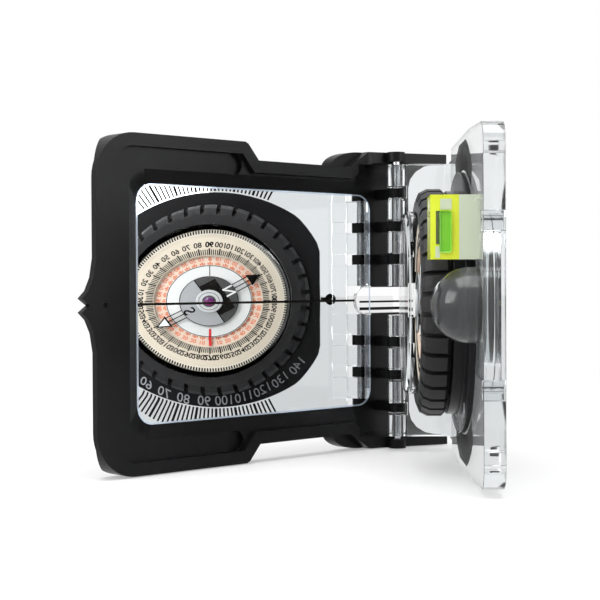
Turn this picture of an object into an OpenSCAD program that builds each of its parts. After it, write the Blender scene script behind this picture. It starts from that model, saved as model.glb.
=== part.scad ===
// A geological mirror compass, standing on its lower long edge with its lid part open.
// Every sub-part is drawn as the compass lies flat: X runs across the base plate, Y along it
// towards the hinge and Z out of its top face, with the dial's axis at X = Y = 0.
// stand() then turns the whole model on its edge.

/* [Base plate] */
// Width of the base plate and of the lid, which is the height of the standing compass
body_w = 63; // [60:0.5:72]
// Thickness of the base plate
plate_t = 3.7; // [3:0.1:5]
// Length of the base plate from the dial's axis to its free end
plate_near = 36.7; // [36:0.5:60]
// Length of the base plate from the dial's axis to its hinge end
plate_far = 30.2; // [28.5:0.1:30.6]
// How much the free end is narrower on each side
plate_taper = 1; // [0:0.1:2]
// Radius of the free end's corners
plate_corner = 4; // [2:0.5:6]

/* [Hinge] */
// Distance from the dial's axis to the hinge axis
hinge_y = 33.3; // [33:0.1:36]
// Height of the hinge axis above the base plate
hinge_h = 11; // [10:0.1:13]
// Radius of the hinge barrels
barrel_r = 1.9; // [1.7:0.1:2.2]
// Radius of the hinge pins
pin_r = 0.8; // [0.6:0.05:1]
// Width of one barrel on the base plate
knuckle_w = 4.5; // [3.5:0.1:5]
// Distance from one barrel on the base plate to the next
knuckle_pitch = 6.95; // [6.6:0.05:7.1]
// Distance from the middle to the first barrel's centre
knuckle_first = 5.3; // [5:0.1:6]
// Angle between the lid and the base plate
open_angle = 46; // [0:1:115]

/* [Lid] */
// Length of the lid from the hinge axis to its free end
lid_l = 74.6; // [74:0.2:90]
// Height of the mirror's face above the hinge axis, with the lid closed
mirror_h = 5.4; // [5.2:0.1:6.5]
// Depth of the lid's rim in front of the mirror
rim_depth = 2.4; // [1.5:0.1:2.4]
// Width of the lid's rim
rim_w = 2.4; // [1.8:0.1:3]
// Thickness of the lid's back behind the mirror and its pad
back_t = 1.4; // [1:0.1:2]
// How far the waist is cut in on each side
waist_in = 3.5; // [2:0.1:4.5]
// Length of the mirror
mirror_l = 61.5; // [50:0.5:62]
// Width of the mirror
mirror_w = 45; // [40:0.5:46]
// Thickness of the mirror
mirror_t = 1; // [0.8:0.1:1.2]
// Width of the sighting slot
slot_w = 5.6; // [4:0.1:5.8]
// Thickness of the two ears beside the hinge
ear_t = 2; // [1.5:0.1:2.2]

/* [Capsule] */
// Outer radius of the bezel
bezel_r = 21.4; // [20.5:0.1:22.5]
// Height of the bezel's top above the base plate
bezel_top = 8.9; // [8.5:0.1:9.3]
// Number of grip grooves round the bezel
grooves = 36; // [24:1:48]
// Outer radius of the clear cover
cover_r = 17.2; // [16.8:0.1:17.4]
// Height of the cover's top above the base plate
cover_top = 11.2; // [11:0.1:11.8]
// Outer radius of the clear cup that turns in the base plate
cup_r = 16.1; // [15.6:0.1:16.2]
// Radius of the protractor ring round the bezel
ring_r = 26.6; // [25.8:0.1:28]
// Distance from the dial's axis to the ring's long sides, which are flatter arcs
ring_side = 24.5; // [24:0.1:25.5]
// Distance from the dial's axis to the ring's flat side, towards the hinge
ring_flat = 23.9; // [23.6:0.1:25.4]

/* [Needle and clinometer] */
// Length of the needle from its pivot to either tip
needle_r = 13.4; // [12:0.1:14]
// Radius of the needle's disc
disc_r = 5.7; // [5:0.1:7]
// Direction of the needle's north tip, from the hinge side towards the upper edge
needle_angle = 31; // [0:1:359]
// Radius of the clinometer's hanging disc
pendulum_r = 8.3; // [7.5:0.1:8.6]

/* [Level and lens] */
// Length of the level's block across the base plate
level_w = 10.8; // [9:0.1:12]
// Size of the level's block along the base plate
level_d = 7.6; // [6.5:0.1:8]
// Height of the level above the base plate
level_h = 8.2; // [7:0.1:9]
// Distance from the middle of the base plate to the level
level_x = 7.7; // [7.5:0.1:9]
// Radius of the domed lens
lens_r = 6.4; // [5:0.1:6.6]
// Height of the round foot under the lens's dome
lens_foot = 1.7; // [0.5:0.1:2]

/* [Hidden] */

half_w = body_w / 2;
round_n = 96;
arc_n = 12;

// Gaps that let the moving pieces turn
run_gap = 0.06;
side_gap = 0.15;
turn_gap = 0.3;
// Extra length of a cut past the face it opens
cut = 1;

// The ears' furthest reach from the hinge axis, and the notch in the base plate that they
// swing through
ear_reach = 13.4;
ear_drop = 3.2;
notch_in = ear_t + 0.5;
notch_y = hinge_y - sqrt(ear_reach * ear_reach - hinge_h * hinge_h) - 0.6;
wall_t = 3.2;
wall_x = knuckle_first + 3 * knuckle_pitch + knuckle_w / 2;
taper_y = -12;
slot_x = 14;
slot_edge = 1.6;
template_w = 3.4;
template_d = 1.8;

// Levels in the capsule, from the base plate's top face
cup_floor_t = 1.2;
cup_bottom = -plate_t + turn_gap;
cup_wall = 1;
cup_top = 7.2;
cup_in_r = cup_r - cup_wall;
scale_t = 0.5;
scale_in_r = 7;
seal_t = 0.3;
dial_t = 0.6;
dial_in_r = 10.5;
dial_top = cup_top + seal_t + dial_t;
cover_t = 1.3;
flange_w = 1.2;
flange_t = 1;
flange_z = 1;
ring_t = 3.4;
ring_gap = 0.3;
side_arc_r = 34;
groove_w = 0.9;
groove_in = 1;
groove_top_in = 2;
bezel_bottom = ring_t + 0.5;
cover_seat = 5.4;
pendulum_z = cup_top + 0.3;
pendulum_t = 0.25;
needle_z = dial_top + 0.3;
needle_t = 0.2;
hub_r = 2.4;
jewel_r = 0.95;
hub_top = needle_z + 0.8;
post_r = 0.7;
pivot_hole_r = 1;
collar_r = 1.5;
magnet_w = 3.8;
magnet_l = 9.2;
weight_r = scale_in_r - 0.5;
weight_in_r = 3.6;
weight_gap = 0.8;
weight_t = 1.2;
pointer_w = 0.5;
pointer_out = 2;

// The lid, from the hinge axis with the lid closed
rim_h = mirror_h - rim_depth;
floor_h = mirror_h - 0.4;
pad_t = 0.2;
back_h = mirror_h + mirror_t + pad_t + back_t;
mirror_start = 2.6;
hinge_section = 5.3;
waist_start = 10.8;
waist_end = 36;
wide_start = 39;
lid_tail = 9.7;
tail_corner = 5;
channel_h = floor_h + 0.6;
ledge_h = rim_h + 1;
funnel_w = 2.6;
pocket_r = 2.1;
shoulder_h = floor_h;
shoulder_start = 5.8;
shoulder_l = 8.6;
lid_corner = 8.5;
slot_end = 7;
bead_reach = 3.1;
line_w = 0.45;
line_t = 0.12;
window_t = 1.2;

function arc(cx, cy, r, a, b, n = arc_n) =
    [for (i = [0 : n]) [cx + r * cos(a + (b - a) * i / n), cy + r * sin(a + (b - a) * i / n)]];

module stand() {
    translate([-plate_t / 2, 0, half_w]) rotate([0, -90, 0]) children();
}

// Places a closed lid, drawn from the hinge axis with its free end towards -Y
module open_lid() {
    stand() translate([0, hinge_y, hinge_h]) rotate([-open_angle, 0, 0]) children();
}

// A bar of the given section, drawn in Y and Z, from x1 to x2
module across(x1, x2) {
    translate([x1, 0, 0]) rotate([90, 0, 90]) linear_extrude(x2 - x1) children();
}

module disc(r, z1, z2) {
    translate([0, 0, z1]) cylinder(r = r, h = z2 - z1, $fn = round_n);
}

module tube(r_out, r_in, z1, z2) {
    difference() {
        disc(r_out, z1, z2);
        disc(r_in, z1 - cut, z2 + cut);
    }
}

// Left edges of the barrels on the base plate's upper half
function knuckle_starts() = [for (i = [0 : 3]) knuckle_first + i * knuckle_pitch - knuckle_w / 2];

module plate_outline() {
    near_w = half_w - plate_taper;
    polygon(concat(
        arc(plate_corner - near_w, plate_corner - plate_near, plate_corner, 180, 270),
        arc(near_w - plate_corner, plate_corner - plate_near, plate_corner, 270, 360),
        [[half_w, taper_y], [half_w, notch_y], [half_w - notch_in, notch_y],
         [half_w - notch_in, plate_far], [notch_in - half_w, plate_far],
         [notch_in - half_w, notch_y], [-half_w, notch_y], [-half_w, taper_y]]));
}

module base_arm(x) {
    difference() {
        union() {
            translate([x, plate_far - wall_t, hinge_h - barrel_r])
                cube([knuckle_w, hinge_y - plate_far + wall_t, 2 * barrel_r]);
            translate([x, hinge_y, hinge_h]) rotate([0, 90, 0])
                cylinder(r = barrel_r, h = knuckle_w, $fn = 48);
        }
        translate([x - cut, hinge_y, hinge_h]) rotate([0, 90, 0])
            cylinder(r = pin_r, h = knuckle_w + 2 * cut, $fn = 48);
    }
}

module base_plate() {
    color([0.85, 0.9, 0.92, 0.35]) stand() {
        difference() {
            union() {
                translate([0, 0, -plate_t]) linear_extrude(plate_t) plate_outline();
                // The upright wall that carries the barrels, with a foot at its root
                across(-wall_x, wall_x) polygon([
                    [plate_far - wall_t - 1.2, 0], [plate_far, 0], [plate_far, hinge_h - barrel_r],
                    [plate_far - wall_t, hinge_h - barrel_r], [plate_far - wall_t, 1.2]]);
            }
            disc(cup_r + turn_gap, -plate_t - cut, cut);
            // Two small template slots at the free end
            for (side = [-1, 1])
                translate([side * slot_x - template_w / 2, slot_edge - plate_near, -plate_t - cut])
                    cube([template_w, template_d, plate_t + 2 * cut]);
            // The clear field under the lens, sunk into the underside
            translate([-12.3, 2 - plate_near, -plate_t - cut]) cube([24.6, 12.8, cut + 0.7]);
        }
        for (x = knuckle_starts()) {
            base_arm(x);
            base_arm(-x - knuckle_w);
        }
    }
}

module ring_outline(grow) {
    offset(r = 5 + grow) offset(delta = -5) intersection() {
        circle(r = ring_r, $fn = round_n);
        intersection_for(side = [-1, 1])
            translate([side * (side_arc_r - ring_side), 0]) circle(r = side_arc_r, $fn = 2 * round_n);
        translate([-ring_r, -ring_r]) square([2 * ring_r, ring_r + ring_flat]);
    }
}

module protractor_ring() {
    color([0.06, 0.06, 0.07]) stand() difference() {
        union() {
            linear_extrude(1.2) ring_outline(0);
            disc(bezel_r - 0.4, 0, ring_t);
        }
        disc(cover_r + ring_gap, -cut, ring_t + cut);
        disc(cover_r + flange_w + ring_gap, -cut, flange_z + flange_t + ring_gap);
        // Room for the level's block and for the lens
        level_place() translate([-0.1, -0.1, -cut])
            cube([level_w + 0.2, level_d + 0.2, level_h]);
        lens_place() disc(lens_r + 0.1, -cut, ring_t + cut);
    }
}

module lens_place() {
    translate([0, -plate_near + 1.2 + lens_r, 0]) children();
}

module level_place() {
    translate([level_x, -plate_near + 5.6, 0]) children();
}

bracket_h = 3.4;
vial_r = 1.9;
vial_z = (level_h + bracket_h) / 2;

module level_bracket() {
    color([0.86, 0.89, 0.82]) stand() level_place() cube([level_w, level_d, bracket_h]);
}

module level_block() {
    color([0.82, 0.9, 0.2, 0.6]) stand() level_place() difference() {
        translate([0, 0, bracket_h]) cube([level_w, level_d, level_h - bracket_h]);
        vial_bar(vial_r, 0.8, level_w - 0.8);
    }
}

module vial_bar(r, x1, x2) {
    translate([x1, level_d / 2, vial_z]) rotate([0, 90, 0]) cylinder(r = r, h = x2 - x1, $fn = 48);
}

module bubble() {
    vial_bar(1.2, 4, level_w - 4);
}

module level_vial() {
    color([0.35, 0.85, 0.2, 0.8]) stand() level_place() difference() {
        vial_bar(vial_r, 0.8, level_w - 0.8);
        bubble();
    }
}

module level_bubble() {
    color([0.9, 0.97, 0.85, 0.5]) stand() level_place() bubble();
}

module magnifier() {
    color([0.88, 0.92, 0.94, 0.35]) stand() lens_place() {
        disc(lens_r, 0, lens_foot);
        translate([0, 0, lens_foot]) intersection() {
            sphere(r = lens_r, $fn = round_n);
            translate([-lens_r, -lens_r, -0.01]) cube(2 * lens_r);
        }
    }
}

module hinge_pin(side) {
    pin_start = knuckle_first - knuckle_w / 2;
    pin_l = half_w - 0.4 - pin_start;
    color([0.7, 0.7, 0.72]) stand()
        translate([side > 0 ? pin_start : -pin_start - pin_l, hinge_y, hinge_h]) rotate([0, 90, 0])
            cylinder(r = pin_r, h = pin_l, $fn = 48);
}

module hinge_pin_upper() {
    hinge_pin(1);
}

module hinge_pin_lower() {
    hinge_pin(-1);
}

module capsule_cup() {
    color([0.85, 0.9, 0.92, 0.3]) stand() {
        tube(cup_r, cup_in_r, cup_bottom + cup_floor_t, cup_top);
        disc(cup_r, cup_bottom, cup_bottom + cup_floor_t);
    }
}

module orienting_disc() {
    color([0.9, 0.9, 0.88, 0.8]) stand()
        tube(cup_in_r, post_r, cup_bottom + cup_floor_t, cup_bottom + cup_floor_t + 0.4);
}

module pivot_post() {
    color([0.78, 0.66, 0.35]) stand() {
        disc(post_r, cup_bottom + cup_floor_t, pendulum_z + pendulum_t);
        disc(collar_r, pendulum_z - 0.5, pendulum_z - 0.1);
        translate([0, 0, pendulum_z + pendulum_t])
            cylinder(r1 = post_r, r2 = 0.1, h = needle_z - pendulum_z - pendulum_t, $fn = 48);
    }
}

module scale_plate() {
    color([0.95, 0.75, 0.68]) stand() tube(cup_in_r, scale_in_r, cup_top - scale_t - 0.2, cup_top - 0.2);
}

module capsule_seal() {
    color([0.1, 0.1, 0.1]) stand() tube(cup_r, cup_in_r - 0.2, cup_top, cup_top + seal_t);
}

module dial_ring() {
    color([0.8, 0.74, 0.64]) stand() tube(cup_r, dial_in_r, cup_top + seal_t, dial_top);
}

module capsule_cover() {
    color([0.9, 0.93, 0.95, 0.25]) stand() {
        tube(cover_r, cup_r, cover_seat, cover_top - cover_t);
        disc(cover_r, cover_top - cover_t, cover_top - 0.6);
        translate([0, 0, cover_top - 0.6]) cylinder(r1 = cover_r, r2 = cover_r - 0.6, h = 0.6, $fn = round_n);
    }
}

// The bezel's flange turns under the protractor ring's collar, which holds it down
module bezel() {
    rim_r = cover_r + 2;
    flange_r = cover_r + flange_w;
    color([0.07, 0.07, 0.08]) stand() difference() {
        rotate_extrude($fn = round_n) polygon([
            [cup_r, flange_z], [flange_r, flange_z], [flange_r, flange_z + flange_t],
            [cover_r, flange_z + flange_t], [cover_r, bezel_bottom], [bezel_r - 0.5, bezel_bottom],
            [bezel_r, bezel_bottom + 0.5], [bezel_r, bezel_top - 2], [bezel_r - 0.7, bezel_top - 0.6],
            [rim_r, bezel_top], [cover_r, bezel_top], [cover_r, cover_seat], [cup_r, cover_seat]]);
        // Grip grooves, deeper at the top
        for (i = [0 : grooves - 1]) rotate([90, 0, (i + 0.5) * 360 / grooves])
            translate([0, 0, -groove_w / 2]) linear_extrude(groove_w) polygon([
                [bezel_r - groove_in, bezel_bottom - cut], [bezel_r + cut, bezel_bottom - cut],
                [bezel_r + cut, bezel_top + cut], [bezel_r - groove_top_in, bezel_top + cut],
                [bezel_r - groove_top_in, bezel_top - 0.2]]);
    }
}

module in_needle() {
    stand() rotate([0, 0, -needle_angle]) translate([0, 0, needle_z]) children();
}

tip_l = 2.5;
tip_w = 2.8;
shaft_w = 1.7;

module needle_blade() {
    color([0.95, 0.95, 0.95]) in_needle() {
        linear_extrude(needle_t) {
            for (side = [-1, 1])
                for (x = [-1, 1]) translate([x * shaft_w / 2 - 0.3, side > 0 ? disc_r - 0.15 : tip_l - needle_r])
                    square([0.6, needle_r - tip_l - disc_r + 0.15]);
            polygon([[0, -needle_r], [tip_w / 2, tip_l - needle_r], [-tip_w / 2, tip_l - needle_r]]);
        }
    }
}

module needle_tip() {
    color([0.05, 0.05, 0.05]) in_needle() linear_extrude(needle_t)
        polygon([[0, needle_r], [-tip_w / 2, needle_r - tip_l], [tip_w / 2, needle_r - tip_l]]);
}

module needle_disc() {
    color([0.6, 0.6, 0.62]) in_needle() difference() {
        disc(disc_r, 0, needle_t);
        disc(jewel_r, -cut, cut);
        for (side = [-1, 1])
            for (x = [-1, 1]) translate([x * shaft_w / 2 - 0.3, side > 0 ? disc_r - 0.15 : -disc_r, -cut])
                cube([0.6, 0.15, 2 * cut]);
    }
}

module needle_magnet() {
    color([0.35, 0.36, 0.38]) in_needle() difference() {
        translate([-magnet_w / 2, -magnet_l / 2, -needle_t]) cube([magnet_w, magnet_l, needle_t]);
        disc(jewel_r, -cut, cut);
    }
}

module hub_ring() {
    color([0.82, 0.82, 0.84]) in_needle() difference() {
        union() {
            disc(hub_r, needle_t, 0.5);
            translate([0, 0, 0.5]) cylinder(r1 = hub_r, r2 = hub_r - 0.7, h = 0.3, $fn = round_n);
        }
        disc(jewel_r, -cut, cut);
    }
}

module jewel() {
    color([0.75, 0.15, 0.5]) in_needle() difference() {
        disc(jewel_r, -0.2, 0.7);
        translate([0, 0, -0.3]) cylinder(r1 = 0.75, r2 = 0.15, h = 0.6, $fn = 48);
    }
}

module pendulum_disc() {
    color([0.96, 0.96, 0.95]) stand() tube(pendulum_r, pivot_hole_r, pendulum_z, pendulum_z + pendulum_t);
}

module pendulum_pointer() {
    reach = pendulum_r + pointer_out;
    color([0.85, 0.1, 0.1]) stand() translate([-reach, -pointer_w / 2, pendulum_z])
        difference() {
            cube([pointer_out + pointer_w, pointer_w, pendulum_t]);
            translate([reach, pointer_w / 2, -cut])
                cylinder(r = pendulum_r, h = pendulum_t + 2 * cut, $fn = round_n);
        }
}

module pendulum_weight() {
    color([0.72, 0.6, 0.3]) stand() intersection() {
        tube(weight_r, weight_in_r, pendulum_z - weight_t, pendulum_z);
        translate([-weight_r - weight_gap, -weight_r, pendulum_z - weight_t])
            cube([weight_r, 2 * weight_r, weight_t]);
    }
}

module lid_outline(inset) {
    wide = half_w - inset;
    waist = wide - waist_in;
    corner = max(lid_corner - inset, 2);
    end = inset - lid_l;
    offset(r = 1) offset(delta = -1)
        polygon(concat(
            [[-wide, 0], [-wide, -hinge_section - inset], [-waist, -waist_start - inset],
             [-waist, inset - waist_end], [-wide, inset - wide_start]],
            arc(corner - wide, end + corner, corner, 180, 270),
            arc(wide - corner, end + corner, corner, 270, 360),
            [[wide, inset - wide_start], [waist, inset - waist_end], [waist, -waist_start - inset],
             [wide, -hinge_section - inset], [wide, 0]]));
}

// The sighting bead's wings at the lid's free end, with a V between them
module bead_outline() {
    tip_x = 1.25;
    reach = -lid_l - bead_reach;
    polygon(concat(
        [[-11, cut - lid_l], [-8.5, -lid_l], [-5, -lid_l - 0.6], [-2.6, -lid_l - 1.7], [-tip_x, reach],
         [0, reach + 1.7], [tip_x, reach], [2.6, -lid_l - 1.7], [5, -lid_l - 0.6], [8.5, -lid_l],
         [11, cut - lid_l]]));
}

module tail_outline() {
    polygon([[-hinge_section, rim_h], [0, 1.25], [ear_reach - 0.9, -ear_drop],
             [ear_reach - 0.5, 0], [lid_tail, channel_h], [lid_tail - 1.2, back_h],
             [-hinge_section, back_h]]);
}

// The hollow between the ears, drawn in X and height
module channel_outline() {
    offset(r = tail_corner) offset(delta = -tail_corner)
        translate([ear_t - half_w, channel_h - 2 * hinge_h])
            square([body_w - 2 * ear_t, 2 * hinge_h]);
}

// The fuller shoulders of the lid's back, one at each side of the hinge
module shoulder_outline() {
    waist = half_w - waist_in;
    polygon(concat(
        [[-half_w, 0]],
        [for (i = [0 : arc_n]) [-waist - waist_in * cos(90 * i / arc_n),
                                -shoulder_start - shoulder_l * sin(90 * i / arc_n)]],
        [for (i = [arc_n : -1 : 0]) [waist + waist_in * cos(90 * i / arc_n),
                                     -shoulder_start - shoulder_l * sin(90 * i / arc_n)]],
        [[half_w, 0]]));
}

// Middle of each gap between the barrels on one half of the base plate
function lid_knuckle_mids() = [for (i = [0 : 2]) knuckle_first + (i + 0.5) * knuckle_pitch];

module lid_knuckle(x1, x2) {
    difference() {
        union() {
            translate([x1, 0, 0]) rotate([0, 90, 0]) cylinder(r = barrel_r, h = x2 - x1, $fn = 48);
            translate([x1, -0.6, 0]) cube([x2 - x1, barrel_r + 0.6, back_h - back_t]);
        }
        translate([x1 - cut, 0, 0]) rotate([0, 90, 0])
            cylinder(r = pin_r + run_gap, h = x2 - x1 + 2 * cut, $fn = 48);
    }
}

module mirror_outline(grow) {
    difference() {
        translate([-mirror_w / 2 - grow, -mirror_start - mirror_l - grow])
            offset(r = 3.5) offset(delta = -3.5) square([mirror_w + 2 * grow, mirror_l + 2 * grow]);
        children();
    }
}

module slot_outline(grow) {
    r = slot_w / 2 + grow;
    translate([0, r - slot_end - grow]) circle(r = r, $fn = 48);
    translate([-r, r - slot_end - grow]) square([2 * r, lid_tail + slot_end + 6]);
}

module lid_body() {
    intersection() {
        translate([0, 0, rim_h]) linear_extrude(back_h - rim_h) {
            lid_outline(0);
            bead_outline();
        }
        // The free end leans in towards the back
        across(-half_w, half_w) polygon([
            [-lid_l - bead_reach, rim_h - cut], [-lid_l - bead_reach, rim_h + 1.4],
            [-lid_l + 0.6, rim_h + 1.4], [-lid_l + 4.4, back_h], [cut, back_h],
            [cut, rim_h - cut]]);
    }
    translate([0, 0, shoulder_h]) linear_extrude(back_h - shoulder_h) shoulder_outline();
    across(-half_w, half_w) tail_outline();
}

module lid_frame() {
    color([0.06, 0.06, 0.07]) open_lid() {
        difference() {
            lid_body();
            // The ledge inside the rim
            translate([0, 0, rim_h - cut]) linear_extrude(ledge_h - rim_h + cut) intersection() {
                offset(delta = -rim_w) lid_outline(0);
                translate([-body_w, -lid_l]) square([2 * body_w, lid_l - hinge_section]);
            }
            // Sloped walls down to the mirror
            translate([0, -mirror_start - mirror_l / 2, ledge_h - 0.01])
                linear_extrude(mirror_h - ledge_h + 0.02,
                               scale = [mirror_w / (mirror_w + 2 * funnel_w),
                                        mirror_l / (mirror_l + 2 * funnel_w)])
                    translate([0, mirror_start + mirror_l / 2]) mirror_outline(funnel_w);
            // A round pocket at the inner side of each step
            for (side = [-1, 1])
                translate([side * (half_w - rim_w - pocket_r), -wide_start - pocket_r - 0.6, rim_h - cut])
                    cylinder(r = pocket_r, h = floor_h - rim_h + cut, $fn = 48);
            // The hollow between the ears, round the barrels on the base plate
            translate([0, ear_reach + cut, 0]) rotate([90, 0, 0])
                linear_extrude(ear_reach + hinge_section + 3 + cut) channel_outline();
            // The mirror's pocket
            translate([0, 0, mirror_h - 0.01]) linear_extrude(back_h - back_t - mirror_h + 0.01)
                mirror_outline(0.05);
            translate([0, 0, rim_h - cut]) linear_extrude(back_h + 2 * cut) slot_outline(0);
            // The peep hole behind the bead
            translate([0, 1.9 - lid_l, 0]) cylinder(r = 0.5, h = back_h + cut, $fn = 24);
            ear_bores();
        }
        difference() {
            for (side = [-1, 1]) translate([side * (half_w - ear_t / 2) - ear_t / 2, 0, 0])
                rotate([0, 90, 0]) cylinder(r = barrel_r, h = ear_t, $fn = 48);
            ear_bores();
        }
        for (x = lid_knuckle_mids()) for (side = [-1, 1]) {
            half = (knuckle_pitch - knuckle_w) / 2 - side_gap;
            lid_knuckle(side * x - half, side * x + half);
        }
    }
}

// The holes for the pins' outer ends
module ear_bores() {
    for (side = [-1, 1]) translate([side * (half_w - ear_t / 2) - ear_t / 2 - cut, 0, 0])
        rotate([0, 90, 0]) cylinder(r = pin_r + run_gap, h = ear_t + 2 * cut, $fn = 48);
}

module mirror() {
    color([0.9, 0.92, 0.95]) open_lid() translate([0, 0, mirror_h]) linear_extrude(mirror_t)
        mirror_outline(0) slot_outline(0.3);
}

module mirror_pad() {
    color([0.3, 0.3, 0.3]) open_lid() translate([0, 0, mirror_h + mirror_t]) linear_extrude(pad_t)
        mirror_outline(-1) slot_outline(0.6);
}

module sight_line() {
    color([0.02, 0.02, 0.02]) open_lid()
        translate([-line_w / 2, -mirror_start - mirror_l + 0.2, mirror_h - line_t])
            cube([line_w, mirror_l + mirror_start - slot_end - 0.6, line_t]);
}

module sight_window() {
    color([0.9, 0.93, 0.95, 0.3]) open_lid() translate([0, 0, back_h - window_t]) linear_extrude(window_t)
        intersection() {
            slot_outline(0);
            translate([-slot_w, -slot_end - cut]) square([2 * slot_w, slot_end + cut + 6]);
        }
}

base_plate();
protractor_ring();
level_bracket();
level_block();
level_vial();
level_bubble();
magnifier();
hinge_pin_upper();
hinge_pin_lower();
capsule_cup();
orienting_disc();
pivot_post();
scale_plate();
capsule_seal();
dial_ring();
capsule_cover();
bezel();
needle_blade();
needle_tip();
needle_disc();
needle_magnet();
hub_ring();
jewel();
pendulum_disc();
pendulum_pointer();
pendulum_weight();
lid_frame();
mirror();
mirror_pad();
sight_line();
sight_window();
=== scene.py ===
import math

import bpy
from mathutils import Matrix, Vector


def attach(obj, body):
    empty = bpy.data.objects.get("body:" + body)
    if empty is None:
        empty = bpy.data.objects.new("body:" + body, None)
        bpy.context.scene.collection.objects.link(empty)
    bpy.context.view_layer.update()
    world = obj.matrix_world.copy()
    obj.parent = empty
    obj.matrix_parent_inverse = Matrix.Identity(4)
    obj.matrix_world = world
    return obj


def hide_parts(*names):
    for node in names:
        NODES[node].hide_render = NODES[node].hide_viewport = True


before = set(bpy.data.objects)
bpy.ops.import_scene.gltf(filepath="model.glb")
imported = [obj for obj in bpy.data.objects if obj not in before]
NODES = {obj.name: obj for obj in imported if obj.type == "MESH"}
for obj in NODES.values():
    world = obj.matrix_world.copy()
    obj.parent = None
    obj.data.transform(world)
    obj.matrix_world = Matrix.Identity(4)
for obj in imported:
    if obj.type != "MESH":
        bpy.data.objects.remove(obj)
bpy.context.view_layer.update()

# Sizes of the compass in millimetres, lying flat with the dial up
MM = 0.001
PLATE_T = 3.7
HALF_W = 31.5
HINGE_Y = 33.3
HINGE_H = 11.0
OPEN_ANGLE = math.radians(46)
NEEDLE_TURN = math.radians(-31)
RING_SIDE = 24.5
RING_ARC = 34.0
LEVEL_FRONT = -31.1
MIRROR_L = 61.5
MIRROR_W = 45.0
MIRROR_START = 2.6
MIRROR_CORNER = 3.5

# Heights of the faces that carry print. The mirror's and the window's are in the lid
RING_TOP = 1.2
SCALE_TOP = 7.0
PENDULUM_TOP = 7.75
DIAL_TOP = 8.1
NEEDLE_TOP = 8.6
HUB_TOP = 8.9
MIRROR_H = 5.4
WINDOW_H = 6.8
PRINT_T = 0.03

# Needle and hub. The tips are drawn at the reach that the photograph shows
NEEDLE_R = 11.6
NEEDLE_T = 0.2
TIP_L = 2.5
TIP_W = 2.8
DISC_R = 5.7
HUB_R = 2.6
HUB_HALF = 0.3
JEWEL_R = 1.05
UPPER_SIDE = (0.857, 0.515, 0.0)

# Lean of the mirror's reflection round the dial: its middle and reach along and across the lid
# in millimetres, the lean at the reach and at the middle in radians, and where it fades out
DISH_AT = 46.8
DISH_LONG = 20.6
DISH_HIGH = 13.7
DISH_LEAN = (-0.031, 0.0075)
DISH_SHIFT = (-0.004, -0.003)
DISH_FADE = (0.8, 1.45)

# Round pieces
ROUND = 96
TUBE_ROUND = 6

# The compass lying flat, in millimetres, to its place standing on its edge
FLAT = Matrix(((0, 0, -MM, -PLATE_T / 2 * MM), (0, MM, 0, 0),
               (MM, 0, 0, HALF_W * MM), (0, 0, 0, 1)))
LID = FLAT @ Matrix.Translation((0, HINGE_Y, HINGE_H)) @ Matrix.Rotation(-OPEN_ANGLE, 4, "X")
NEEDLE = FLAT @ Matrix.Rotation(NEEDLE_TURN, 4, "Z")


# Materials
def add_link(tree, source, target):
    tree.links.new(source, target)


def make_grain_group():
    """Colour, roughness and bump that vary a little over a moulded or printed surface."""
    group = bpy.data.node_groups.new("surface_grain", "ShaderNodeTree")
    for name, kind, value in (("Base", "NodeSocketColor", (0.5, 0.5, 0.5, 1)),
                              ("Spot", "NodeSocketColor", (0.4, 0.4, 0.4, 1)),
                              ("Grain Scale", "NodeSocketFloat", 900),
                              ("Patch Scale", "NodeSocketFloat", 60),
                              ("Rough Low", "NodeSocketFloat", 0.35),
                              ("Rough High", "NodeSocketFloat", 0.5),
                              ("Bump", "NodeSocketFloat", 0.15)):
        socket = group.interface.new_socket(name, in_out="INPUT", socket_type=kind)
        socket.default_value = value
    for name, kind in (("Color", "NodeSocketColor"), ("Roughness", "NodeSocketFloat"),
                       ("Normal", "NodeSocketVector")):
        group.interface.new_socket(name, in_out="OUTPUT", socket_type=kind)
    nodes = group.nodes
    inputs, outputs = nodes.new("NodeGroupInput"), nodes.new("NodeGroupOutput")
    place = nodes.new("ShaderNodeTexCoord")
    grain, patch = nodes.new("ShaderNodeTexNoise"), nodes.new("ShaderNodeTexNoise")
    patch.inputs["Detail"].default_value = 5
    grain.inputs["Detail"].default_value = 2
    mix = nodes.new("ShaderNodeMix")
    mix.data_type = "RGBA"
    spread = nodes.new("ShaderNodeMapRange")
    spread.inputs["From Min"].default_value = 0.3
    spread.inputs["From Max"].default_value = 0.7
    bump = nodes.new("ShaderNodeBump")
    bump.inputs["Distance"].default_value = 0.00005
    add_link(group, place.outputs["Object"], grain.inputs["Vector"])
    add_link(group, place.outputs["Object"], patch.inputs["Vector"])
    add_link(group, inputs.outputs["Grain Scale"], grain.inputs["Scale"])
    add_link(group, inputs.outputs["Patch Scale"], patch.inputs["Scale"])
    add_link(group, patch.outputs["Fac"], spread.inputs["Value"])
    add_link(group, inputs.outputs["Rough Low"], spread.inputs["To Min"])
    add_link(group, inputs.outputs["Rough High"], spread.inputs["To Max"])
    add_link(group, patch.outputs["Fac"], mix.inputs["Factor"])
    add_link(group, inputs.outputs["Base"], mix.inputs["A"])
    add_link(group, inputs.outputs["Spot"], mix.inputs["B"])
    add_link(group, inputs.outputs["Bump"], bump.inputs["Strength"])
    add_link(group, grain.outputs["Fac"], bump.inputs["Height"])
    add_link(group, mix.outputs["Result"], outputs.inputs["Color"])
    add_link(group, spread.outputs["Result"], outputs.inputs["Roughness"])
    add_link(group, bump.outputs["Normal"], outputs.inputs["Normal"])
    return group


GRAIN = make_grain_group()


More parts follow.
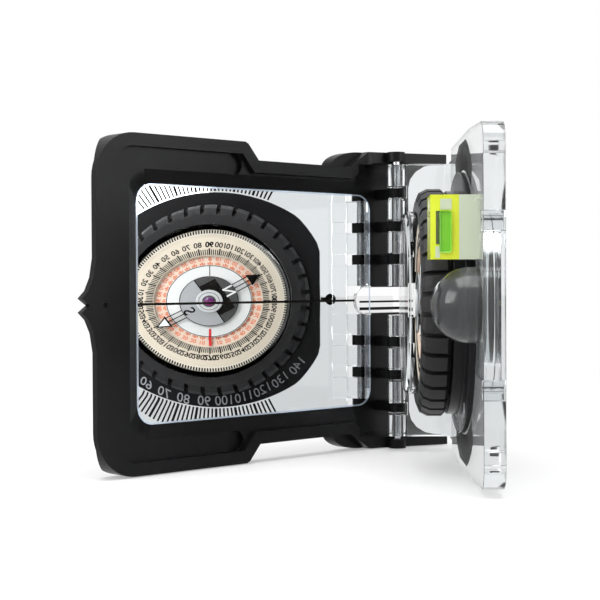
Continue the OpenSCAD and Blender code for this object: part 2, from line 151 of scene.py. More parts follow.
def surface(name, base, spot=None, rough=(0.35, 0.5), grain=900, patch=60, bump=0.15, **sockets):
    """A Principled material with the shared grain. sockets are plain values on the shader."""
    material = bpy.data.materials.new(name)
    material.use_nodes = True
    tree = material.node_tree
    shader = tree.nodes["Principled BSDF"]
    group = tree.nodes.new("ShaderNodeGroup")
    group.node_tree = GRAIN
    spot = spot or tuple(c * 0.88 for c in base)
    for key, value in (("Base", (*base, 1)), ("Spot", (*spot, 1)), ("Grain Scale", grain),
                       ("Patch Scale", patch), ("Rough Low", rough[0]),
                       ("Rough High", rough[1]), ("Bump", bump)):
        group.inputs[key].default_value = value
    add_link(tree, group.outputs["Color"], shader.inputs["Base Color"])
    add_link(tree, group.outputs["Roughness"], shader.inputs["Roughness"])
    add_link(tree, group.outputs["Normal"], shader.inputs["Normal"])
    for key, value in sockets.items():
        shader.inputs[key.replace("_", " ")].default_value = value
    material.diffuse_color = (*base, 1)
    return material


BLACK = surface("moulded_black", (0.003, 0.003, 0.0034), (0.005, 0.005, 0.0055),
                rough=(0.33, 0.4), grain=2600, bump=0.2, Specular_IOR_Level=0.11)
BEZEL_BLACK = surface("grip_black", (0.009, 0.009, 0.01), (0.018, 0.018, 0.019),
                      rough=(0.42, 0.58), grain=2000, bump=0.3, Specular_IOR_Level=0.25)
RING_BLACK = surface("ring_black", (0.005, 0.005, 0.006), (0.008, 0.008, 0.009),
                     rough=(0.2, 0.3), grain=1500, bump=0.05, Specular_IOR_Level=0.15)
ACRYLIC = surface("clear_acrylic", (0.85, 0.875, 0.885), (0.8, 0.83, 0.84), rough=(0.0, 0.06),
                  grain=90, patch=35, bump=0.12, Transmission_Weight=1.0, IOR=1.49)
COVER_CLEAR = surface("cover_clear", (0.99, 0.995, 0.99), (0.98, 0.985, 0.98), rough=(0.0, 0.01),
                      grain=60, patch=25, bump=0.01, Transmission_Weight=1.0, IOR=1.05)
LENS_CLEAR = surface("lens_clear", (0.95, 0.97, 0.98), (0.7, 0.73, 0.75), rough=(0.04, 0.25),
                     grain=300, patch=180, bump=0.25, Transmission_Weight=0.97, IOR=1.38)
MILKY = surface("milky_plastic", (0.62, 0.68, 0.52), (0.55, 0.61, 0.47), rough=(0.2, 0.35),
                Transmission_Weight=0.35, IOR=1.45)
LEVEL_YELLOW = surface("level_yellow", (0.8, 0.91, 0.02), (0.86, 0.94, 0.08), rough=(0.02, 0.08),
                       patch=260, bump=0.03, Transmission_Weight=0.45, IOR=1.3)
LEVEL_GREEN = surface("level_green", (0.09, 0.42, 0.02), (0.24, 0.56, 0.04), rough=(0.02, 0.06),
                      patch=260, bump=0.02, Transmission_Weight=0.2, IOR=1.3)
BUBBLE = surface("level_bubble_air", (0.8, 0.95, 0.55), (0.75, 0.9, 0.5), rough=(0.0, 0.02),
                 bump=0.01, Transmission_Weight=0.8, IOR=1.1)
STEEL = surface("ground_steel", (0.62, 0.62, 0.64), (0.5, 0.5, 0.52), rough=(0.18, 0.32),
                grain=4000, bump=0.1, Metallic=1.0)
BRASS = surface("turned_brass", (0.72, 0.55, 0.25), (0.6, 0.45, 0.2), rough=(0.2, 0.35),
                grain=3000, bump=0.1, Metallic=1.0)
CHROME = surface("hub_chrome", (0.82, 0.82, 0.84), (0.74, 0.74, 0.76), rough=(0.12, 0.25),
                 bump=0.04, Metallic=1.0)
RUBY = surface("pivot_ruby", (0.42, 0.03, 0.26), (0.3, 0.015, 0.18), rough=(0.03, 0.1),
               bump=0.02, Coat_Weight=0.6)
SATIN = surface("satin_cap", (0.6, 0.61, 0.63), (0.68, 0.69, 0.7), rough=(0.25, 0.35),
                patch=500, bump=0.05)
RUBY_DARK = surface("ruby_shade", (0.06, 0.01, 0.09), (0.12, 0.01, 0.12), rough=(0.05, 0.12),
                    patch=900, bump=0.02)
RUBBER = surface("seal_rubber", (0.02, 0.02, 0.02), rough=(0.6, 0.75))
BEIGE = surface("dial_beige", (0.72, 0.63, 0.51), (0.78, 0.7, 0.58), rough=(0.35, 0.5),
                grain=1800, patch=140, bump=0.06)
RIM_CREAM = surface("rim_cream", (0.78, 0.73, 0.63), (0.84, 0.79, 0.7), rough=(0.35, 0.5),
                    patch=140, bump=0.05)
PEACH = surface("scale_peach", (0.93, 0.76, 0.64), (0.9, 0.72, 0.6), rough=(0.4, 0.55),
                patch=120, bump=0.04)
WHITE = surface("printed_white", (0.86, 0.87, 0.87), (0.8, 0.81, 0.81), rough=(0.35, 0.5),
                patch=150, bump=0.04)
INK_WHITE = surface("ink_white", (0.34, 0.35, 0.37), (0.28, 0.29, 0.31), rough=(0.4, 0.55),
                    patch=900, bump=0.05)
INK_BLACK = surface("ink_black", (0.004, 0.003, 0.003), (0.008, 0.007, 0.006), rough=(0.4, 0.55),
                    patch=900, bump=0.05, Specular_IOR_Level=0.08)
INK_ORANGE = surface("ink_orange", (0.85, 0.2, 0.08), (0.9, 0.3, 0.16), rough=(0.4, 0.55),
                     patch=900, bump=0.05)
RED = surface("pointer_red", (0.75, 0.02, 0.02), (0.65, 0.015, 0.015), rough=(0.3, 0.45))
DISC_GREY = surface("disc_light_grey", (0.36, 0.37, 0.39), (0.44, 0.45, 0.47), rough=(0.3, 0.4),
                    patch=90, bump=0.03)
DISC_DARK = surface("disc_dark_grey", (0.06, 0.06, 0.062), (0.09, 0.09, 0.09), rough=(0.3, 0.42),
                    patch=90, bump=0.03, Specular_IOR_Level=0.15)
SILVER = surface("mirror_silver", (0.94, 0.95, 0.95), (0.93, 0.94, 0.945), rough=(0.0, 0.004),
                 bump=0.0, Metallic=1.0)
BEVEL_GREY = surface("mirror_bevel", (0.22, 0.23, 0.25), (0.4, 0.42, 0.45), rough=(0.1, 0.3),
                     grain=2500, patch=420, bump=0.1, Metallic=0.7)
LEVEL_SHADE = surface("level_shade", (0.03, 0.04, 0.01), (0.08, 0.1, 0.03), rough=(0.1, 0.2),
                      patch=700, bump=0.03)
MIRROR_EDGE = surface("mirror_edge", (0.55, 0.66, 0.8), (0.7, 0.78, 0.88), rough=(0.05, 0.15),
                      bump=0.05, Metallic=0.6)

NODE_MATERIALS = {
    "base_plate": ACRYLIC, "protractor_ring": RING_BLACK, "level_bracket": MILKY,
    "level_block": LEVEL_YELLOW, "level_vial": LEVEL_GREEN, "level_bubble": BUBBLE,
    "magnifier": LENS_CLEAR, "hinge_pin_upper": STEEL, "hinge_pin_lower": STEEL,
    "capsule_cup": ACRYLIC, "orienting_disc": WHITE, "pivot_post": BRASS,
    "scale_plate": PEACH, "capsule_seal": RUBBER, "dial_ring": BEIGE,
    "capsule_cover": COVER_CLEAR, "bezel": BEZEL_BLACK, "needle_blade": WHITE,
    "needle_tip": INK_BLACK, "needle_disc": DISC_GREY, "needle_magnet": STEEL,
    "hub_ring": CHROME, "jewel": RUBY, "pendulum_disc": WHITE, "pendulum_pointer": RED,
    "pendulum_weight": BRASS, "lid_frame": BLACK, "mirror": SILVER, "mirror_pad": RUBBER,
    "sight_line": INK_BLACK, "sight_window": COVER_CLEAR,
}
for node, material in NODE_MATERIALS.items():
    NODES[node].data.materials.clear()
    NODES[node].data.materials.append(material)


# The mirror reflects as if slightly dished in front of the dial
def dish_mirror(material, node):
    """Leans the mirror's normal round the middle of the dish, on Object coordinates."""
    inside = node.matrix_world.inverted() @ LID
    turn = inside.to_3x3()
    along = (turn @ Vector((0, -1, 0))).normalized()
    across = (turn @ Vector((-1, 0, 0))).normalized()
    front = (turn @ Vector((0, 0, -1))).normalized()
    middle = inside @ Vector((0, -DISH_AT, MIRROR_H))
    group = bpy.data.node_groups.new("dished_face", "ShaderNodeTree")
    group.interface.new_socket("Normal", in_out="OUTPUT", socket_type="NodeSocketVector")
    place = group.nodes.new("ShaderNodeTexCoord")
    offset = group.nodes.new("ShaderNodeVectorMath")
    offset.operation = "SUBTRACT"
    offset.inputs[1].default_value = middle
    add_link(group, place.outputs["Object"], offset.inputs[0])
    parts = []
    for direction, reach in ((along, DISH_LONG), (across, DISH_HIGH)):
        part = group.nodes.new("ShaderNodeVectorMath")
        part.operation = "DOT_PRODUCT"
        part.inputs[1].default_value = direction / (reach * MM)
        add_link(group, offset.outputs["Vector"], part.inputs[0])
        parts.append(part.outputs["Value"])
    pair = group.nodes.new("ShaderNodeCombineXYZ")
    add_link(group, parts[0], pair.inputs["X"])
    add_link(group, parts[1], pair.inputs["Y"])
    radius = group.nodes.new("ShaderNodeVectorMath")
    radius.operation = "LENGTH"
    add_link(group, pair.outputs["Vector"], radius.inputs[0])
    fade = group.nodes.new("ShaderNodeMapRange")
    for key, value in (("From Min", DISH_FADE[0]), ("From Max", DISH_FADE[1]),
                       ("To Min", 1.0), ("To Max", 0.0)):
        fade.inputs[key].default_value = value
    add_link(group, radius.outputs["Value"], fade.inputs["Value"])
    upright = group.nodes.new("ShaderNodeCombineXYZ")
    for axis in range(3):
        upright.inputs[axis].default_value = front[axis]
    source = upright.outputs["Vector"]
    for part, direction, lean, shift in ((parts[0], along, DISH_LEAN[0], DISH_SHIFT[0]),
                                         (parts[1], across, DISH_LEAN[1], DISH_SHIFT[1])):
        slope = group.nodes.new("ShaderNodeMath")
        slope.operation = "MULTIPLY_ADD"
        slope.inputs[1].default_value = lean
        slope.inputs[2].default_value = shift
        add_link(group, part, slope.inputs[0])
        faded = group.nodes.new("ShaderNodeMath")
        faded.operation = "MULTIPLY"
        add_link(group, slope.outputs["Value"], faded.inputs[0])
        add_link(group, fade.outputs["Result"], faded.inputs[1])
        leaning = group.nodes.new("ShaderNodeVectorMath")
        leaning.operation = "MULTIPLY_ADD"
        leaning.inputs[0].default_value = direction
        add_link(group, faded.outputs["Value"], leaning.inputs[1])
        add_link(group, source, leaning.inputs[2])
        source = leaning.outputs["Vector"]
    to_world = group.nodes.new("ShaderNodeVectorTransform")
    to_world.vector_type = "NORMAL"
    to_world.convert_from = "OBJECT"
    to_world.convert_to = "WORLD"
    add_link(group, source, to_world.inputs["Vector"])
    ending = group.nodes.new("NodeGroupOutput")
    add_link(group, to_world.outputs["Vector"], ending.inputs["Normal"])
    tree = material.node_tree
    use = tree.nodes.new("ShaderNodeGroup")
    use.node_tree = group
    for shader in tree.nodes:
        if shader.type == "BSDF_PRINCIPLED":
            add_link(tree, use.outputs["Normal"], shader.inputs["Normal"])


dish_mirror(SILVER, NODES["mirror"])


# Strokes of printed digits, and the least angle of an edge that a moulding rounds
BOLD_INK = 0.07
THIN_INK = 0.035
MERGE_GAP = 0.000004
FLAT_WITHIN = math.radians(1)
ROUND_OVER = math.radians(28)
SMOOTH_UNDER = math.radians(32)
ROUND_STEPS = 3


# Modelling helpers
def only(piece):
    """Selects one piece and makes it active."""
    bpy.ops.object.select_all(action="DESELECT")
    piece.select_set(True)
    bpy.context.view_layer.objects.active = piece


def start_piece(name):
    """An empty mesh piece, open in edit mode."""
    bpy.ops.object.select_all(action="DESELECT")
    mesh = bpy.data.meshes.new(name)
    piece = bpy.data.objects.new(name, mesh)
    bpy.context.scene.collection.objects.link(piece)
    only(piece)
    bpy.ops.object.mode_set(mode="EDIT")
    return piece


def place_piece(piece, matrix, body, material, replaces=()):
    """Takes a piece made in millimetres to its place, and gives it its body and finish."""
    if bpy.context.mode != "OBJECT":
        bpy.ops.object.mode_set(mode="OBJECT")
    piece.data.transform(matrix @ piece.matrix_world)
    piece.matrix_world = Matrix.Identity(4)
    piece.data.materials.clear()
    piece.data.materials.append(material)
    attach(piece, body)
    if replaces:
        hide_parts(*replaces)
    bpy.ops.object.select_all(action="DESELECT")
    return piece


def add_bar(x, y, z, long, wide, thick, angle=0.0):
    """A thin bar in the open piece, its length turned from +X by angle."""
    bpy.ops.mesh.select_all(action="DESELECT")
    bpy.ops.mesh.primitive_cube_add(size=1, location=(x, y, z), rotation=(0, 0, angle),
                                    scale=(long, wide, thick))


def add_ticks(r_in, r_out, wide, z, first, step):
    """Radial bars all round the dial's axis. Angles are in degrees from +X."""
    start = math.radians(first)
    middle = (r_in + r_out) / 2
    turns = 360 // step - 1
    add_bar(middle * math.cos(start), middle * math.sin(start), z, r_out - r_in, wide,
            PRINT_T, start)
    bpy.ops.mesh.spin(steps=turns, dupli=True, angle=math.radians(step * turns),
                      use_auto_merge=False, center=(0, 0, 0), axis=(0, 0, -1))


def add_loop(radius, thick, z, around=ROUND, tube=TUBE_ROUND, y=0.0):
    """A thin torus in the open piece."""
    bpy.ops.mesh.select_all(action="DESELECT")
    bpy.ops.mesh.primitive_torus_add(major_radius=radius, minor_radius=thick,
                                     major_segments=around, minor_segments=tube,
                                     location=(0, y, z))


def hollow_out(wide, thick):
    """Keeps a band of the open flat piece along its edge, and gives it a thickness."""
    bpy.ops.mesh.inset(thickness=wide, depth=0)
    bpy.ops.mesh.delete(type="FACE")
    bpy.ops.mesh.select_all(action="SELECT")
    bpy.ops.mesh.extrude_region_move(TRANSFORM_OT_translate={"value": (0, 0, thick)})
    bpy.ops.mesh.select_all(action="SELECT")
    bpy.ops.mesh.normals_make_consistent(inside=False)


def add_word(text, size, x, y, z, angle, bold=0.0):
    """Digits or a letter as a thin mesh, centred on a point of the dial."""
    bpy.ops.object.text_add(location=(0, 0, 0))
    word = bpy.context.object
    word.data.body = text
    word.data.size = size
    word.data.align_x = "CENTER"
    word.data.align_y = "CENTER"
    word.data.extrude = PRINT_T / 2
    word.data.offset = bold
    word.data.resolution_u = 3
    bpy.ops.object.convert(target="MESH")
    word = bpy.context.object
    word.data.transform(Matrix.Translation((x, y, z)) @ Matrix.Rotation(angle, 4, "Z"))
    return word


def join_words(words, name):
    """Joins words to one piece."""
    bpy.ops.object.select_all(action="DESELECT")
    for word in words:
        word.select_set(True)
    bpy.context.view_layer.objects.active = words[0]
    bpy.ops.object.join()
    piece = bpy.context.object
    piece.name = name
    piece.data.name = name
    return piece


def numbers_round(name, values, radius, size, z, bold):
    """values pairs an angle in degrees from +X with the digits that stand there."""
    words = []
    for degrees, text in values:
        a = math.radians(degrees)
        words.append(add_word(text, size, radius * math.cos(a), radius * math.sin(a), z,
                              a - math.pi / 2, BOLD_INK if degrees in bold else THIN_INK))
    return join_words(words, name)


def rounded_copy(node, width):
    """A copy of a CAD node with its edges rounded, for the highlights a moulding shows."""
    piece = NODES[node].copy()
    piece.data = NODES[node].data.copy()
    for key in list(piece.keys()):
        del piece[key]
    piece.parent = None
    piece.name = node + "_moulding"
    bpy.context.scene.collection.objects.link(piece)
    only(piece)
    bpy.ops.object.mode_set(mode="EDIT")
    bpy.ops.mesh.select_all(action="SELECT")
    bpy.ops.mesh.remove_doubles(threshold=MERGE_GAP)
    bpy.ops.mesh.dissolve_limited(angle_limit=FLAT_WITHIN)
    bpy.ops.object.mode_set(mode="OBJECT")
    bevel = piece.modifiers.new("edges", "BEVEL")
    bevel.width = width * MM
    bevel.segments = ROUND_STEPS
    bevel.limit_method = "ANGLE"
    bevel.angle_limit = ROUND_OVER
    bevel.use_clamp_overlap = True
    bpy.ops.object.modifier_apply(modifier="edges")
    bpy.ops.object.shade_smooth_by_angle(angle=SMOOTH_UNDER)
    weighted = piece.modifiers.new("normals", "WEIGHTED_NORMAL")
    weighted.keep_sharp = True
    bpy.ops.object.modifier_apply(modifier="normals")
    return piece


# Dial markings
TICK_IN = 10.62
TICK_OUT = 11.85
TENS_OUT = 12.1
RIM_IN = 15.35
RIM_OUT = 16.05
BAND_R = 16.07
BAND_W = 0.95
DIGIT_R = 12.9
DIGIT_SIZE = 1.6
GROOVE_R = 14.7
FINE_LINE = 0.19
STRONG_LINE = 0.3
piece = start_piece("dial_ticks")
add_ticks(TICK_IN, TICK_OUT, FINE_LINE, DIAL_TOP + PRINT_T / 2, 0, 2)
add_ticks(TICK_IN, TENS_OUT, STRONG_LINE, DIAL_TOP + PRINT_T / 2, 0, 10)
add_ticks(RIM_IN, RIM_OUT, STRONG_LINE, DIAL_TOP + 2.5 * PRINT_T, 0, 2)
place_piece(piece, FLAT, "capsule", INK_BLACK)
piece = start_piece("dial_rim_band")
bpy.ops.mesh.primitive_circle_add(vertices=ROUND, radius=BAND_R, fill_type="NGON",
                                  location=(0, 0, DIAL_TOP + PRINT_T))
hollow_out(BAND_W, PRINT_T)
place_piece(piece, FLAT, "capsule", RIM_CREAM)

# Degrees run counter-clockwise, with 0 at the free end and 90 at the upper edge
compass_values = [(v - 90, str(v)) for v in range(10, 361, 10)]
piece = numbers_round("dial_numbers", compass_values, DIGIT_R, DIGIT_SIZE,
                      DIAL_TOP + PRINT_T / 2, (0, 90, 180, 270))
place_piece(piece, FLAT, "capsule", INK_BLACK)
piece = start_piece("dial_groove")
add_loop(GROOVE_R, 0.05, DIAL_TOP)
place_piece(piece, FLAT, "capsule", BEIGE)

# Clinometer scale: two half circles from 0 to 90 each way
SLOPE_R = 9.65
SLOPE_SIZE = 1.2
SLOPE_TICK_IN = 8.35
SLOPE_TENS_OUT = 9.05
SLOPE_FIVES_OUT = 8.85
slope_values = []
for degrees in range(0, 360, 10):
    slope = degrees % 180
    slope_values.append((degrees, str(min(slope, 180 - slope))))
piece = numbers_round("clinometer_numbers", slope_values, SLOPE_R, SLOPE_SIZE,
                      SCALE_TOP + PRINT_T / 2, (0, 180))
place_piece(piece, FLAT, "capsule", INK_ORANGE)
piece = start_piece("clinometer_ticks")
add_ticks(SLOPE_TICK_IN, SLOPE_TENS_OUT, 0.32, SCALE_TOP + PRINT_T / 2, 0, 10)
add_ticks(SLOPE_TICK_IN, SLOPE_FIVES_OUT, 0.26, SCALE_TOP + PRINT_T / 2, 2.5, 5)
place_piece(piece, FLAT, "capsule", INK_ORANGE)

# Pendulum markings
piece = start_piece("pendulum_marks")
add_loop(8.15, 0.07, PENDULUM_TOP)
add_bar(6.95, 0, PENDULUM_TOP + PRINT_T / 2, 2.3, 0.16, PRINT_T)
place_piece(piece, FLAT, "pendulum", INK_BLACK)
piece = start_piece("pointer_stem")
add_bar(-7.8, 0, PENDULUM_TOP + PRINT_T / 2, 2.9, 0.5, PRINT_T)
place_piece(piece, FLAT, "pendulum", RED)

# Protractor ring numbers, read from the lower edge, each at its angle and radius
ring_values = ((60, 218.4, 24.4), (70, 208.2, 24.1), (80, 197.6, 23.7), (90, 186.3, 23.3),
               (100, 174.8, 23.1), (110, 163.5, 23.1), (120, 152.2, 23.2), (130, 140.8, 23.5),
               (140, 128.6, 24.0))
RING_DIGIT_SIZE = 3.0
words = []
for value, degrees, radius in ring_values:
    a = math.radians(degrees)
    words.append(add_word(str(value), RING_DIGIT_SIZE, radius * math.cos(a), radius * math.sin(a),
                          RING_TOP + PRINT_T / 2, a + math.pi / 2, 0.0))
place_piece(join_words(words, "ring_numbers"), FLAT, "base", INK_WHITE)


# Plate ticks beside the ring
def ring_edge(angle):
    """Distance from the dial's axis to the ring's long side."""
    back = RING_ARC - RING_SIDE
    across = abs(math.cos(angle))
    return math.sqrt(RING_ARC ** 2 - back ** 2 * (1 - across ** 2)) - back * across


# The ticks count in steps of two degrees from across the dial, and every fifth is strong
PLATE_STEPS = range(-19, 15)
RING_GAP = 0.35
TICK_EDGE = 30.2
TICK_REACH = 30.9
piece = start_piece("plate_ticks")
for side in (0, 180):
    for step in PLATE_STEPS:
        low = math.radians(2 * step)
        a = math.radians(side) + (low if side == 0 else -low)
        r_in = ring_edge(a) + RING_GAP
        r_out = min(TICK_EDGE / abs(math.cos(a)), TICK_REACH)
        middle = (r_in + r_out) / 2
        add_bar(middle * math.cos(a), middle * math.sin(a), PRINT_T / 2, r_out - r_in,
                0.6 if step % 5 == 0 else 0.42, PRINT_T, a)
place_piece(piece, FLAT, "base", INK_BLACK)

# Index mark between the ring's flat side and the wall
INDEX_Y = 26.3
piece = start_piece("index_mark")
add_bar(0, INDEX_Y - 1.3, PRINT_T / 2, 0.9, 2.0, PRINT_T)
bpy.ops.mesh.select_all(action="DESELECT")
bpy.ops.mesh.primitive_cylinder_add(vertices=32, radius=1.3, depth=PRINT_T,
                                    location=(0, INDEX_Y, 1.5 * PRINT_T))
place_piece(piece, FLAT, "base", INK_BLACK)

# Needle: three rails each way from the disc to the tips
RAIL_AWAY = 0.95
RAIL_MIDDLE = 7.4
RAIL_L = 3.6
piece = start_piece("needle_rails")
for across in (-RAIL_AWAY, 0, RAIL_AWAY):
    for along in (1, -1):
        add_bar(across, along * RAIL_MIDDLE, NEEDLE_TOP - NEEDLE_T / 2, 0.2, RAIL_L, NEEDLE_T)
place_piece(piece, NEEDLE, "needle", INK_BLACK)


def add_tip(base_y, point_y, wide, z, thick):
    """A triangular tip in the open piece, its point on the needle's axis."""
    bpy.ops.mesh.select_all(action="DESELECT")
    long = abs(point_y - base_y)
    turn = 0.0 if point_y > base_y else math.pi
    bpy.ops.mesh.primitive_cylinder_add(vertices=3, radius=1, depth=thick, location=(0, 0, 0),
                                        rotation=(0, 0, turn))
    bpy.ops.transform.resize(value=(wide / math.sqrt(3), long / 1.5, 1),
                             center_override=(0, 0, 0))
    middle = base_y + (point_y - base_y) / 3
    bpy.ops.transform.translate(value=(0, middle, z))


piece = start_piece("south_tip")
add_tip(-NEEDLE_R + TIP_L - 0.15, -NEEDLE_R + 0.45, 1.9, NEEDLE_TOP - 0.05, NEEDLE_T)
place_piece(piece, NEEDLE, "needle", WHITE, replaces=("needle_blade",))
piece = start_piece("south_tip_outline")
add_tip(-NEEDLE_R + TIP_L + 0.15, -NEEDLE_R, TIP_W, NEEDLE_TOP - 0.12, 0.12)
place_piece(piece, NEEDLE, "needle", INK_BLACK)
piece = start_piece("north_tip")
add_tip(NEEDLE_R - TIP_L, NEEDLE_R, TIP_W, NEEDLE_TOP - NEEDLE_T / 2, NEEDLE_T)
place_piece(piece, NEEDLE, "needle", INK_BLACK, replaces=("needle_tip",))

# The needle's disc: a dark north half, a black line across and a black field beside the hub
FIELD_L = 7.7
FIELD_W = 3.6
piece = start_piece("disc_north_half")
bpy.ops.mesh.primitive_cylinder_add(vertices=ROUND, radius=DISC_R - 0.1, depth=PRINT_T,
                                    location=(0, 0, NEEDLE_TOP + PRINT_T / 2))
bpy.ops.mesh.bisect(plane_co=(0, 0, 0), plane_no=(0, 1, 0), use_fill=True, clear_inner=True)
place_piece(piece, NEEDLE, "needle", DISC_DARK)
piece = start_piece("disc_field")
add_bar(0, FIELD_W / 2, NEEDLE_TOP + 1.5 * PRINT_T, FIELD_L, FIELD_W, PRINT_T)
add_bar(0, 0, NEEDLE_TOP + 1.6 * PRINT_T, 2 * DISC_R - 0.2, 0.22, PRINT_T)
place_piece(piece, NEEDLE, "needle", INK_BLACK)
piece = start_piece("disc_outline")
add_loop(DISC_R - 0.04, 0.07, NEEDLE_TOP)
place_piece(piece, NEEDLE, "needle", INK_BLACK)

# Hub: a satin cap whose steps show as dark rings of painted shade, and a domed ruby with its
# upper half in painted shade
piece = start_piece("hub_cap")
bpy.ops.mesh.primitive_cylinder_add(vertices=64, radius=HUB_R, depth=2 * HUB_HALF,
                                    location=(0, 0, HUB_TOP))
bpy.ops.mesh.bevel(offset=0.2, offset_pct=0, segments=4, affect="EDGES")
place_piece(piece, NEEDLE, "needle", SATIN, replaces=("hub_ring",))
# Painted shade: dark rings where the cap steps down
piece = start_piece("hub_step_shade")
for radius, thick in ((1.98, 0.06), (1.2, 0.14)):
    add_loop(radius, thick, HUB_TOP + HUB_HALF, around=64, tube=8)
place_piece(piece, NEEDLE, "needle", DISC_DARK)
for name, side, material, replaced in (("jewel_lower", -1, RUBY, ("jewel",)),
                                       ("jewel_upper", 1, RUBY_DARK, ())):
    piece = start_piece(name)
    bpy.ops.mesh.primitive_uv_sphere_add(segments=48, ring_count=24, radius=JEWEL_R)
    bpy.ops.transform.resize(value=(1, 1, 0.35), center_override=(0, 0, 0))
    bpy.ops.transform.translate(value=(0, 0, HUB_TOP + HUB_HALF))
    bpy.ops.mesh.bisect(plane_co=(0, 0, 0), plane_no=[side * part for part in UPPER_SIDE],
                        use_fill=True, clear_inner=True)
    place_piece(piece, NEEDLE, "needle", material, replaces=replaced)
for name, text, size, y, z, angle, bold, material, slot in (
        ("letter_north", "N", 3.1, 4.4, 2.5 * PRINT_T, 0, 0.03, WHITE, "printed_white"),
        ("letter_south", "S", 3.2, -4.3, 0.5 * PRINT_T, math.pi, 0.04, INK_BLACK,
         "printed_black")):
    piece = add_word(text, size, 0, y, NEEDLE_TOP + z, angle, bold)
    piece.name = piece.data.name = name
    place_piece(piece, NEEDLE, "needle", material)

# Ground edge round the mirror: a thin frame, and a wider strip at the hinge end
SLOT_R = 3.0
SLOT_Y = -4.2
RIM_T = 0.24
piece = start_piece("mirror_edge")
middle = -MIRROR_START - MIRROR_L / 2
bpy.ops.mesh.primitive_plane_add(size=1, location=(0, middle, MIRROR_H - 0.02))
bpy.ops.transform.resize(value=(MIRROR_W, MIRROR_L, 1), center_override=(0, middle, MIRROR_H))
bpy.ops.mesh.bevel(offset=MIRROR_CORNER, offset_pct=0, segments=8, affect="VERTICES")
bpy.ops.mesh.select_all(action="SELECT")
hollow_out(0.32, -0.04)
place_piece(piece, LID, "lid", MIRROR_EDGE)
piece = start_piece("mirror_end_bevel")
for side in (-1, 1):
    add_bar(side * 11.2, -3.55, MIRROR_H - 0.06, 15.4, 1.2, 0.05)
place_piece(piece, LID, "lid", BEVEL_GREY)
piece = start_piece("slot_rim")
add_loop(SLOT_R, RIM_T, MIRROR_H - 0.1, around=48, tube=10, y=SLOT_Y)
bpy.ops.mesh.bisect(plane_co=(0, SLOT_Y, 0), plane_no=(0, 1, 0), use_fill=True,
                    clear_outer=True)
for side in (-1, 1):
    bpy.ops.mesh.select_all(action="DESELECT")
    bpy.ops.mesh.primitive_cylinder_add(vertices=10, radius=RIM_T, depth=1.6,
                                        rotation=(math.pi / 2, 0, 0),
                                        location=(side * SLOT_R, SLOT_Y + 0.8, MIRROR_H - 0.1))
place_piece(piece, LID, "lid", CHROME)

# The sighting line goes on across the window; the wider second bar beside it is painted shade
# along the dark lower edge of the slot
piece = start_piece("window_line_and_edge_shade")
for x, wide in ((-0.35, 0.42), (-1.85, 0.62)):
    add_bar(x, 1.9, WINDOW_H - 0.05, wide, 12.6, 0.08)
place_piece(piece, LID, "lid", INK_BLACK)

# What shows through the level's front face: the green tube, a dark bar of painted shade above it
# along the tube's upper edge, and pale bars of painted glint in milky plastic
FRONT_Y = LEVEL_FRONT - 0.02
piece = start_piece("level_tube_front")
bpy.ops.mesh.primitive_cube_add(size=1, location=(12.3, FRONT_Y, 5.7), scale=(7.0, 0.06, 2.0))
bpy.ops.mesh.bevel(offset=0.4, offset_pct=0, segments=4, affect="EDGES")
place_piece(piece, FLAT, "base", LEVEL_GREEN)
# Painted shade: a dark bar along the tube's upper edge
piece = start_piece("level_tube_edge_shade")
add_bar(13.0, FRONT_Y, 6.9, 5.6, 0.05, 0.75)
place_piece(piece, FLAT, "base", LEVEL_SHADE)
piece = start_piece("level_tube_glint")
add_bar(8.9, FRONT_Y, 7.0, 1.9, 0.05, 0.8)
add_bar(16.9, FRONT_Y, 5.6, 1.8, 0.05, 1.9)
place_piece(piece, FLAT, "base", MILKY)

# Mouldings with rounded edges
for node, width, body, material, slot in (
        ("lid_frame", 0.55, "lid", BLACK, "black_plastic"),
        ("base_plate", 0.3, "base", ACRYLIC, "clear_acrylic"),
        ("protractor_ring", 0.2, "base", RING_BLACK, "black_plastic"),
        ("bezel", 0.16, "capsule", BEZEL_BLACK, "black_plastic")):
    piece = rounded_copy(node, width)
    place_piece(piece, Matrix.Identity(4), body, material, replaces=(node,))

# Camera and light. The camera was fitted to the photograph: metres, radians and pixels
PHOTO_W = 600
FOCAL_PX = 1388.1
SENSOR_W = 36
YAW = -0.0248
PITCH = -0.0137
ROLL = 0.0048
camera = bpy.data.objects.new("camera", bpy.data.cameras.new("camera"))
bpy.context.scene.collection.objects.link(camera)
camera.data.sensor_width = SENSOR_W
camera.data.lens = FOCAL_PX * SENSOR_W / PHOTO_W
camera.data.clip_start = 0.01
camera.location = (-0.0261, -0.2633, 0.0357)
ahead = Vector((math.sin(YAW) * math.cos(PITCH), math.cos(YAW) * math.cos(PITCH),
                math.sin(PITCH)))
camera.rotation_euler = (ahead.to_track_quat("-Z", "Y").to_matrix()
                         @ Matrix.Rotation(-ROLL, 3, "Z")).to_euler()
bpy.context.scene.camera = camera


def add_softbox(name, place, aim, size, power):
    light = bpy.data.lights.new(name, "AREA")
    light.shape = "RECTANGLE"
    light.size, light.size_y = size
    light.energy = power
    lamp = bpy.data.objects.new(name, light)
    lamp.location = place
    lamp.rotation_euler = (Vector(aim) - Vector(place)).to_track_quat("-Z", "Y").to_euler()
    bpy.context.scene.collection.objects.link(lamp)


CENTRE = (-0.03, 0.0, 0.03)
add_softbox("softbox_top", (-0.05, -0.1, 0.6), CENTRE, (0.5, 0.5), 5.0)
add_softbox("softbox_left", (-0.6, -0.3, 0.3), CENTRE, (0.4, 0.4), 3.5)
add_softbox("softbox_right", (0.55, -0.25, 0.25), CENTRE, (0.4, 0.5), 3.5)


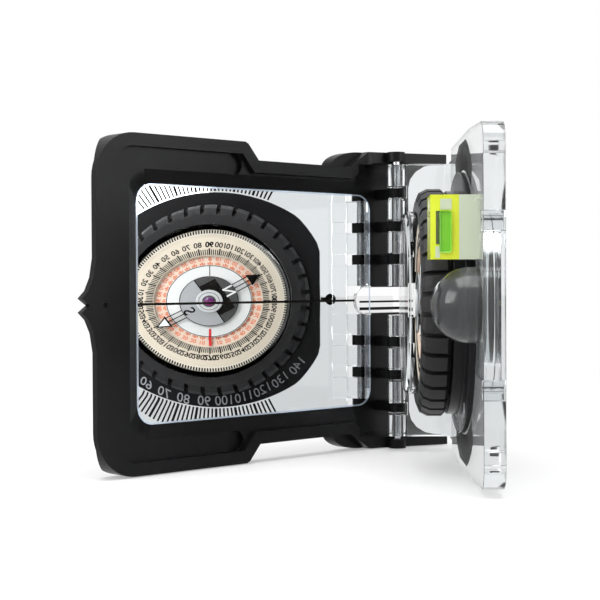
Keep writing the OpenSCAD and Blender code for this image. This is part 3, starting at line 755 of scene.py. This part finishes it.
# White is what the camera sees of the world and the floor, but the floor is a little darker
# through clear plastic and in reflections, and keeps the shadow close to the compass
AMBIENT = 0.7
FLOOR_GREY = 0.62
FLOOR_SEEN_THROUGH = 0.86
SHADOW_FADE = (("From Min", 0.05), ("From Max", 0.3), ("To Min", 0.35), ("To Max", 1.0))


def maths(tree, operation, first, second):
    """A Math node on two sockets."""
    node = tree.nodes.new("ShaderNodeMath")
    node.operation = operation
    add_link(tree, first, node.inputs[0])
    add_link(tree, second, node.inputs[1])
    return node.outputs["Value"]


world = bpy.data.worlds.new("studio")
bpy.context.scene.world = world
world.use_nodes = True
tree = world.node_tree
tree.nodes.clear()
ambient, white = tree.nodes.new("ShaderNodeBackground"), tree.nodes.new("ShaderNodeBackground")
for background, strength in ((ambient, AMBIENT), (white, 1.0)):
    background.inputs["Color"].default_value = (1, 1, 1, 1)
    background.inputs["Strength"].default_value = strength
mix, out = tree.nodes.new("ShaderNodeMixShader"), tree.nodes.new("ShaderNodeOutputWorld")
path = tree.nodes.new("ShaderNodeLightPath")
indirect = maths(tree, "MAXIMUM", path.outputs["Is Glossy Ray"],
                 path.outputs["Is Transmission Ray"])
seen = maths(tree, "MAXIMUM", path.outputs["Is Camera Ray"], indirect)
add_link(tree, seen, mix.inputs["Fac"])
add_link(tree, ambient.outputs[0], mix.inputs[1])
add_link(tree, white.outputs[0], mix.inputs[2])
add_link(tree, mix.outputs[0], out.inputs["Surface"])

bpy.ops.mesh.primitive_plane_add(size=6, location=(0, 0, -0.0002))
floor = bpy.context.object
floor.name = "floor"
floor_paint = bpy.data.materials.new("floor_white")
floor_paint.use_nodes = True
tree = floor_paint.node_tree
shader = tree.nodes["Principled BSDF"]
shader.inputs["Base Color"].default_value = (FLOOR_GREY, FLOOR_GREY, FLOOR_GREY, 1)
shader.inputs["Roughness"].default_value = 0.6
glow = tree.nodes.new("ShaderNodeEmission")
place = tree.nodes.new("ShaderNodeTexCoord")
away = tree.nodes.new("ShaderNodeVectorMath")
away.operation = "LENGTH"
spread = tree.nodes.new("ShaderNodeMapRange")
spread.interpolation_type = "SMOOTHSTEP"
for key, value in SHADOW_FADE:
    spread.inputs[key].default_value = value
add_link(tree, place.outputs["Object"], away.inputs[0])
add_link(tree, away.outputs["Value"], spread.inputs["Value"])
mix = tree.nodes.new("ShaderNodeMixShader")
path = tree.nodes.new("ShaderNodeLightPath")
indirect = maths(tree, "MAXIMUM", path.outputs["Is Glossy Ray"],
                 path.outputs["Is Transmission Ray"])
direct = maths(tree, "MULTIPLY", path.outputs["Is Camera Ray"], spread.outputs["Result"])
add_link(tree, maths(tree, "MAXIMUM", direct, indirect), mix.inputs["Fac"])
brightness = tree.nodes.new("ShaderNodeMath")
brightness.operation = "MULTIPLY_ADD"
brightness.inputs[1].default_value = 1.0 - FLOOR_SEEN_THROUGH
brightness.inputs[2].default_value = FLOOR_SEEN_THROUGH
add_link(tree, path.outputs["Is Camera Ray"], brightness.inputs[0])
add_link(tree, brightness.outputs["Value"], glow.inputs["Strength"])
add_link(tree, shader.outputs["BSDF"], mix.inputs[1])
add_link(tree, glow.outputs["Emission"], mix.inputs[2])
add_link(tree, mix.outputs[0], tree.nodes["Material Output"].inputs["Surface"])
floor.data.materials.append(floor_paint)

bpy.context.scene.view_settings.view_transform = "Standard"
